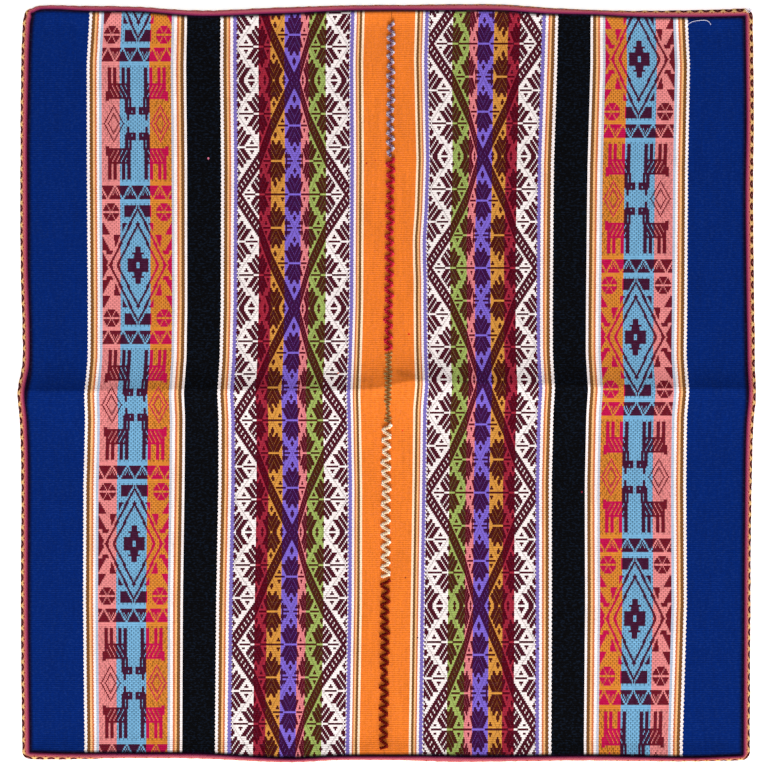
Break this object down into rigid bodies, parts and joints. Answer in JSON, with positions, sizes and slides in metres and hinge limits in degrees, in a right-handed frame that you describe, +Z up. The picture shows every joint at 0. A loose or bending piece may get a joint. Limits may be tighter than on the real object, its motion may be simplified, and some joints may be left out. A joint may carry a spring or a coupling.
{
  "type": "andean mesa cloth",
  "caption": "Square hand-woven striped wool cloth of joined panels with patterned bands, wave joining stitches and a tubular woven edging, laid flat with a fold crease across it.",
  "frame": {"origin": "centre of the cloth's outline, on the surface that it lies on", "axes": "+Z up out of the patterned face, +Y along the warp towards the top of the picture, +X to the right"},
  "size_m": [0.6265, 0.644, 0.0078],
  "materials": {
    "woven_panel": "dense warp-faced wool weave with many colours of stripe",
    "woven_edging": "tubular warp-faced wool band with rows of eyes",
    "yarn_sky": "plied wool yarn",
    "yarn_crimson": "plied wool yarn",
    "yarn_olive": "plied wool yarn",
    "yarn_cream": "plied wool yarn",
    "yarn_maroon": "plied wool yarn"
  },
  "bodies": {
    "root": {"panel_left": "woven_panel", "panel_right": "woven_panel", "edging": "woven_edging", "join_yarn_sky": "yarn_sky", "join_yarn_crimson": "yarn_crimson", "join_yarn_olive": "yarn_olive", "join_yarn_cream": "yarn_cream", "join_yarn_maroon": "yarn_maroon"}
  },
  "joints": []
}
